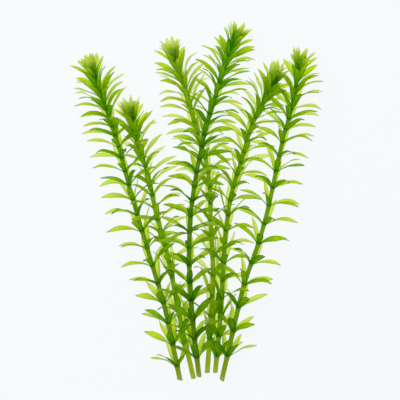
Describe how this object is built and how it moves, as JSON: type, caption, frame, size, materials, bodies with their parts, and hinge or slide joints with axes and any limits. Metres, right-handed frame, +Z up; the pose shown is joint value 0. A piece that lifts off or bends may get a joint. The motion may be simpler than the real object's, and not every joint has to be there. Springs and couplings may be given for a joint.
{
  "type": "hydrilla bunch",
  "caption": "Bunch of cut hydrilla stems lying fanned out: slender green stems with whorls of narrow arching leaves and a leafy crown at each tip.",
  "frame": {"origin": "on the surface that the bunch lies on, under the middle of its bounding box", "axes": "+Z up from that surface, +Y from the cut ends to the growing tips, +X to the right as seen from above"},
  "size_m": [0.141, 0.2012, 0.032],
  "materials": {
    "stem_and_leaf": "satin, living leaf, lets light through",
    "young_leaf": "satin, young leaf, lets light through"
  },
  "bodies": {
    "root": {"leafy_stem_left": "stem_and_leaf", "leafy_stem_right": "stem_and_leaf", "leafy_stem_tallest": "stem_and_leaf", "leafy_stem_inner_right": "stem_and_leaf", "leafy_stem_inner_left": "stem_and_leaf", "leafy_stem_crossing": "stem_and_leaf", "crown_left": "young_leaf", "crown_right": "young_leaf", "crown_tallest": "young_leaf", "crown_inner_right": "young_leaf", "crown_inner_left": "young_leaf", "crown_crossing": "young_leaf"}
  },
  "joints": []
}
